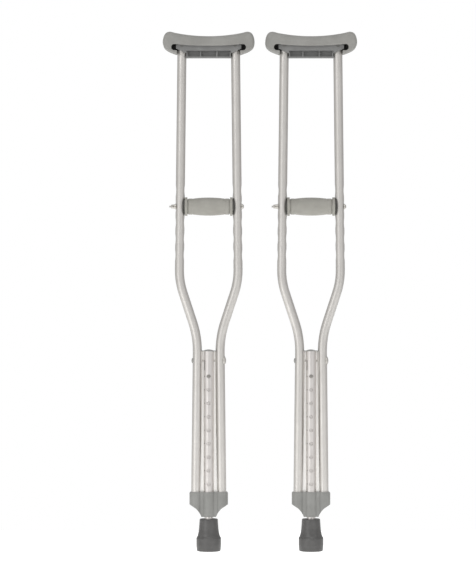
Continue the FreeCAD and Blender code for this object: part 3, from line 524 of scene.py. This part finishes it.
# Moulded soft PVC: a matt warm grey, polished a little where the palm rubs it.
soft_pvc, tree, shader = new_material("moulded soft PVC", 0.0, 0.6)
place = add_node(tree, "TexCoord", {}).outputs["Object"]
grain = add_node(
    tree, "TexNoise", {"Vector": place, "Scale": 1 / (0.8 * MM), "Detail": 3.0}
).outputs["Fac"]
rubbed = add_node(
    tree, "TexNoise", {"Vector": place, "Scale": 1 / (25 * MM), "Detail": 4.0}
).outputs["Fac"]
share = add_node(
    tree, "MapRange", {"Value": rubbed, "From Min": 0.35, "From Max": 0.65}
).outputs["Result"]
colour = add_node(
    tree, "Mix", {"Factor": share, 6: linear("#94928B"), 7: linear("#9E9C95")}, data_type="RGBA"
).outputs[2]
gloss = add_node(
    tree, "MapRange", {"Value": rubbed, "To Min": 0.68, "To Max": 0.5}
).outputs["Result"]
bump = add_node(
    tree, "Bump", {"Height": grain, "Strength": 0.4, "Distance": 0.05 * MM}
).outputs["Normal"]
tree.links.new(colour, shader.inputs["Base Color"])
tree.links.new(gloss, shader.inputs["Roughness"])
tree.links.new(bump, shader.inputs["Normal"])

for crutch in CRUTCHES:
    low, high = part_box(f"{crutch}_grip_sleeve")
    centre = (low + high) / 2
    profile = rounded_profile(grip_profile((high.x - low.x) / 2 / MM), GRIP_CORNER_R)
    made, rings = bmesh.new(), []
    for turn in range(GRIP_TURNS):
        angle = 2 * math.pi * turn / GRIP_TURNS
        # the mould closes along the top and the bottom, and leaves a faint ridge there
        ridge = MOULD_RIDGE if turn in (GRIP_TURNS // 4, 3 * GRIP_TURNS // 4) else 0.0
        ring = []
        for point in profile:
            r = point.y + (ridge if point.y > GRIP_BORE_R + 1 else 0.0)
            place = Vector((point.x, r * math.cos(angle), r * math.sin(angle))) * MM
            ring.append(made.verts.new(centre + place))
        rings.append(ring)
    for near, far in zip(rings, rings[1:] + rings[:1]):
        for a, b, c, d in zip(near, near[1:] + near[:1], far[1:] + far[:1], far):
            made.faces.new((a, b, c, d))
    bmesh.ops.recalc_face_normals(made, faces=made.faces)
    sleeve = mesh_piece(f"{crutch}_soft_grip", made)
    sleeve.data.polygons.foreach_set("use_smooth", [True] * len(sleeve.data.polygons))
    sleeve.data.materials.append(soft_pvc)
    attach(sleeve, f"{crutch}_frame")
    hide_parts(f"{crutch}_grip_sleeve")

# Black nylon core: only its cupped ends show, as dark crescents against the tubes.
black_nylon = moulded_finish("moulded black nylon", "#4E4E4A", "#42423F", 0.45, 0.6, 0.03)
paint(black_nylon, "grip_core")
paint(zinc_plated, "grip_bolt", "grip_washers", "wing_nut")

# ---------------------------------------------------------------- leg housing
# An aluminium extrusion between the tubes: a round middle for the leg and a web and lips to
# each side that cradle the tubes. A grey cap closes its top, and a cross bolt with a wide
# head and a domed nut holds it to the tubes.

# Extruded aluminium, clear anodised: paler than the tubes, with long die lines.
extruded_aluminium = metal_finish(
    "extruded aluminium", "#D9D5D2", "#CDC9C6", 0.42, 1.6, 400, 0.02
)
# The height marks are stamped in the left flank of the round middle and filled with black
# ink. A point is inside a mark where it lies a little below the round surface there.
HOUSING_R, CRUTCH_SPACING = 11.6, 225.4  # the round middle, and between the two crutches
PAINTED_LIGHT_FROM = 9.5  # half width of the round middle; beyond it the webs and lips are painted paler, as painted light
MARK_TURN = math.radians(-49)  # from straight ahead
MARK_HALF_WIDTH, MARK_CLEAR, MARK_DEPTH = 1.0, 0.06, 1.0
tree = extruded_aluminium.node_tree
shader = tree.nodes["Principled BSDF"]
bare_colour = shader.inputs["Base Color"].links[0].from_socket
place = add_node(tree, "TexCoord", {}).outputs["Object"]
axes = add_node(tree, "SeparateXYZ", {"Vector": place}).outputs
half_spacing = CRUTCH_SPACING / 2 * MM
# distance to the side of the nearer crutch's middle
from_middle = add_node(tree, "Math", {0: axes["X"], 1: half_spacing}, operation="ADD").outputs[0]
from_middle = add_node(
    tree, "Math", {0: from_middle, 1: half_spacing, 2: -half_spacing}, operation="WRAP"
).outputs[0]
flat = add_node(tree, "CombineXYZ", {"X": from_middle, "Y": axes["Y"]}).outputs[0]
outward = Vector((math.sin(MARK_TURN), -math.cos(MARK_TURN), 0))
sideways = Vector((math.cos(MARK_TURN), math.sin(MARK_TURN), 0))
reach = add_node(
    tree, "VectorMath", {0: flat, 1: outward}, operation="DOT_PRODUCT"
).outputs["Value"]
aside = add_node(
    tree, "VectorMath", {0: flat, 1: sideways}, operation="DOT_PRODUCT"
).outputs["Value"]
aside = add_node(tree, "Math", {0: aside}, operation="ABSOLUTE").outputs[0]
distance = add_node(tree, "VectorMath", {0: flat}, operation="LENGTH").outputs["Value"]
# the webs and lips are painted paler than the round middle: painted light that lifts the shade in
# the grooves against the tubes
off_middle = add_node(tree, "Math", {0: from_middle}, operation="ABSOLUTE").outputs[0]
lip_painted_light = add_node(
    tree,
    "MapRange",
    {"Value": off_middle, "From Min": PAINTED_LIGHT_FROM * MM, "From Max": HOUSING_R * MM},
).outputs["Result"]
bare_colour = add_node(
    tree, "Mix", {"Factor": lip_painted_light, 6: bare_colour, 7: linear("#EFEDEA")}, data_type="RGBA"
).outputs[2]
tests = [
    (distance, "LESS_THAN", HOUSING_R - MARK_CLEAR),
    (reach, "GREATER_THAN", HOUSING_R - MARK_DEPTH),
    (aside, "LESS_THAN", MARK_HALF_WIDTH),
]
inked = 1.0
for value, test, limit in tests:
    passed = add_node(tree, "Math", {0: value, 1: limit * MM}, operation=test).outputs[0]
    inked = add_node(tree, "Math", {0: passed, 1: inked}, operation="MULTIPLY").outputs[0]
colour = add_node(
    tree, "Mix", {"Factor": inked, 6: bare_colour, 7: linear("#3E3C3A")}, data_type="RGBA"
).outputs[2]
bare = add_node(tree, "Math", {0: 1.0, 1: inked}, operation="SUBTRACT").outputs[0]
tree.links.new(colour, shader.inputs["Base Color"])
tree.links.new(bare, shader.inputs["Metallic"])
paint(extruded_aluminium, "leg_housing")
# Moulded polythene, mid grey and waxy, for the cap and the domed nut.
grey_polythene = moulded_finish("moulded grey polythene", "#9A9A97", "#8E8E8B", 0.5, 0.7, 0.03)
paint(grey_polythene, "housing_top_cap", "housing_cap_nut")
# Nickel-plated steel, tumbled to a satin: the wide head takes no sharp highlight.
satin_nickel = metal_finish(
    "satin nickel plated steel", "#C6C3BE", "#B9B6B1", 0.52, 0.8, 4, 0.006
)
paint(satin_nickel, "housing_bolt")

# ---------------------------------------------------------------- ferrule
# A moulding of grey ABS that joins the lower ends of the tubes and the housing, in three
# lobes drawn in to a neck round the leg. Blind rivets hold it from behind.

# Moulded ABS: a harder, smoother satin than the polypropylene, with a fine grain.
grey_abs = moulded_finish("moulded grey ABS", "#8B8B88", "#81817E", 0.42, 0.8, 0.04)
paint(grey_abs, "ferrule")
paint(zinc_plated, "ferrule_rivets")
# Acetal: the slippery white plastic of the bushes that the leg slides in.
white_acetal = moulded_finish("moulded white acetal", "#D9D8D2", "#CFCEC8", 0.35, 0.6, 0.02)
paint(white_acetal, "leg_guide_bush", "leg_top_bush")

# ---------------------------------------------------------------- leg and button
# The inner leg is a plain drawn aluminium tube. A steel button on a folded leaf spring
# stands out through one hole of the row and sets the height.

# Drawn aluminium, not anodised: brighter and sharper than the tubes, from sliding.
drawn_leg = metal_finish("drawn aluminium leg", "#D6D2CF", "#C6C2BF", 0.28, 0.8, 150, 0.015)
paint(drawn_leg, "leg_tube")
# Stainless steel, turned and tumbled: a darker grey than the zinc.
tumbled_steel = metal_finish("tumbled stainless steel", "#9C9995", "#86837F", 0.34, 0.5, 2, 0.01)
paint(tumbled_steel, "snap_button")
# Hardened spring steel: rolled strip, dark and slightly glossy.
spring_steel = metal_finish("spring steel", "#8F8C87", "#76736F", 0.32, 0.6, 30, 0.01)
# The spring is a strip folded at its foot. The front leaf pushes the button out, and the
# back leaf bears on the leg's far wall.
LEAF_THICKNESS = 0.7
LEAF_KNEE = 8.0  # below the button, where the front leaf turns in to the fold
LEAF_HEEL = 4.0  # below the top, where the back leaf meets the leg's wall
FOLD_R, FOLD_STEPS = 0.9, 8
for crutch in CRUTCHES:
    low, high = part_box(f"{crutch}_snap_spring")
    half_leaf = LEAF_THICKNESS / 2 * MM
    front, back, fold_r = low.y + half_leaf, high.y - half_leaf, FOLD_R * MM
    button_z = sum(corner.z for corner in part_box(f"{crutch}_snap_button")) / 2
    strip = [Vector((front, high.z)), Vector((front, button_z - LEAF_KNEE * MM))]
    fold_z = low.z + fold_r + half_leaf
    for step in range(FOLD_STEPS + 1):
        turn = math.pi * (1 + step / FOLD_STEPS)
        strip.append(Vector((fold_r * math.cos(turn), fold_z + fold_r * math.sin(turn))))
    strip += [Vector((back, high.z - LEAF_HEEL * MM)), Vector((back, high.z))]
    made, sections = bmesh.new(), []
    for number, point in enumerate(strip):
        along = strip[min(number + 1, len(strip) - 1)] - strip[max(number - 1, 0)]
        proud = Vector((-along.y, along.x)).normalized() * half_leaf
        corners = [(low.x, point - proud), (high.x, point - proud)]
        corners += [(high.x, point + proud), (low.x, point + proud)]
        sections.append([made.verts.new((x, spot.x, spot.y)) for x, spot in corners])
    for near, far in zip(sections, sections[1:]):
        for a, b, c, d in zip(near, near[1:] + near[:1], far[1:] + far[:1], far):
            made.faces.new((a, b, c, d))
    made.faces.new(sections[0])
    made.faces.new(sections[-1])
    bmesh.ops.recalc_face_normals(made, faces=made.faces)
    leaf_spring = mesh_piece(f"{crutch}_leaf_spring", made)
    leaf_spring.data.materials.append(spring_steel)
    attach(leaf_spring, f"{crutch}_leg")
    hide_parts(f"{crutch}_snap_spring")
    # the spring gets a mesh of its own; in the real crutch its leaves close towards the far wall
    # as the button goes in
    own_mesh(leaf_spring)
paint(spring_steel, "tip_washer")

# ---------------------------------------------------------------- rubber tip
# A boot of natural rubber pushed on the leg, with a tapered neck, a shoulder and a ringed
# sole. Carbon black makes it charcoal, and the mould leaves a slight polish.
tyre_rubber, tree, shader = new_material("moulded charcoal rubber", 0.0, 0.5)
place = add_node(tree, "TexCoord", {}).outputs["Object"]
# dust lies in patches about 17 mm wide
dust = add_node(
    tree, "TexNoise", {"Vector": place, "Scale": 60.0, "Detail": 6.0, "Roughness": 0.7}
).outputs["Fac"]
grain = add_node(
    tree, "TexNoise", {"Vector": place, "Scale": 1 / (0.9 * MM), "Detail": 3.0}
).outputs["Fac"]
share = add_node(
    tree, "MapRange", {"Value": dust, "From Min": 0.4, "From Max": 0.75}
).outputs["Result"]
colour = add_node(
    tree, "Mix", {"Factor": share, 6: linear("#4D4C4B"), 7: linear("#5A5958")}, data_type="RGBA"
).outputs[2]
gloss = add_node(
    tree, "MapRange", {"Value": dust, "To Min": 0.28, "To Max": 0.44}
).outputs["Result"]
bump = add_node(
    tree, "Bump", {"Height": grain, "Strength": 0.4, "Distance": 0.05 * MM}
).outputs["Normal"]
tree.links.new(colour, shader.inputs["Base Color"])
tree.links.new(gloss, shader.inputs["Roughness"])
tree.links.new(bump, shader.inputs["Normal"])
paint(tyre_rubber, "crutch_tip")

# ---------------------------------------------------------------- studio
# A plain white floor under a pale sky of soft light, brightest in front, above and to the
# left. The floor lies just under the tips with the legs at their longest. The camera looks
# straight at the pair from a little over five metres.
LEG_TRAVEL, FLOOR_GAP = 177.6, 0.4
FLOOR_HALF_WIDTH = 2.2  # metres
floor_mesh = bmesh.new()
bmesh.ops.create_grid(floor_mesh, x_segments=1, y_segments=1, size=FLOOR_HALF_WIDTH)
floor = mesh_piece("studio_floor", floor_mesh)
floor.location.z = -(LEG_TRAVEL + FLOOR_GAP) * MM
# Matt white paint with a little light of its own, so that the floor has no visible edge.
white_paint, tree, shader = new_material("matt white paint", 0.0, 0.9)
place = add_node(tree, "TexCoord", {}).outputs["Object"]
mottle = add_node(tree, "TexNoise", {"Vector": place, "Scale": 3.0}).outputs["Fac"]
colour = add_node(
    tree, "Mix", {"Factor": mottle, 6: linear("#F4F4F3"), 7: linear("#F8F8F7")}, data_type="RGBA"
).outputs[2]
tree.links.new(colour, shader.inputs["Base Color"])
shader.inputs["Emission Color"].default_value = (1, 1, 1, 1)
shader.inputs["Emission Strength"].default_value = 0.7
floor.data.materials.append(white_paint)

world = bpy.data.worlds.new("soft studio")
bpy.context.scene.world = world
world.use_nodes = True
tree = world.node_tree
background = tree.nodes["Background"]
direction = add_node(tree, "TexCoord", {}).outputs["Generated"]
towards_light = Vector((-0.3, -0.85, 0.42)).normalized()
facing = add_node(
    tree, "VectorMath", {0: direction, 1: towards_light}, operation="DOT_PRODUCT"
).outputs["Value"]
glow = add_node(
    tree,
    "MapRange",
    {"Value": facing, "From Min": -1.0, "From Max": 1.0, "To Min": 0.41, "To Max": 0.72},
).outputs["Result"]
seen = add_node(tree, "LightPath", {}).outputs["Is Camera Ray"]
strength = add_node(tree, "Mix", {"Factor": seen, 2: glow, 3: 1.0}, data_type="FLOAT").outputs[0]
tree.links.new(strength, background.inputs["Strength"])
background.inputs["Color"].default_value = (1, 1, 1, 1)


def soft_box(name, place, target, size, power):
    """A square light, its side in metres and its power in watts, that faces the target."""
    light = bpy.data.lights.new(name, "AREA")
    light.shape, light.size, light.energy = "SQUARE", size, power
    box = bpy.data.objects.new(name, light)
    box.location = place
    box.rotation_euler = (Vector(target) - Vector(place)).to_track_quat("-Z", "Y").to_euler()
    bpy.context.scene.collection.objects.link(box)


soft_box("key_box", (-2.6, -3.6, 2.4), (0, 0, 0.6), 1.6, 24)
soft_box("fill_box", (2.7, -3.0, 1.4), (0, 0, 0.6), 1.2, 2)
soft_box("top_box", (0.3, -2.2, 3.4), (0, -0.4, 0), 2.2, 22)
soft_box("low_left_box", (-1.3, -1.4, 0.14), (0, 0, 0.1), 0.4, 2.0)
soft_box("low_right_box", (1.3, -1.4, 0.14), (0, 0, 0.1), 0.4, 0.4)

camera_data = bpy.data.cameras.new("camera")
camera_data.lens, camera_data.sensor_width = 155.3, 36.0  # millimetres
camera = bpy.data.objects.new("camera", camera_data)
camera.location = (-0.0482, -5.4, 0.588)
camera.rotation_euler = (math.pi / 2, 0, 0)
bpy.context.scene.collection.objects.link(camera)
bpy.context.scene.camera = camera
bpy.context.scene.view_settings.view_transform = "Standard"
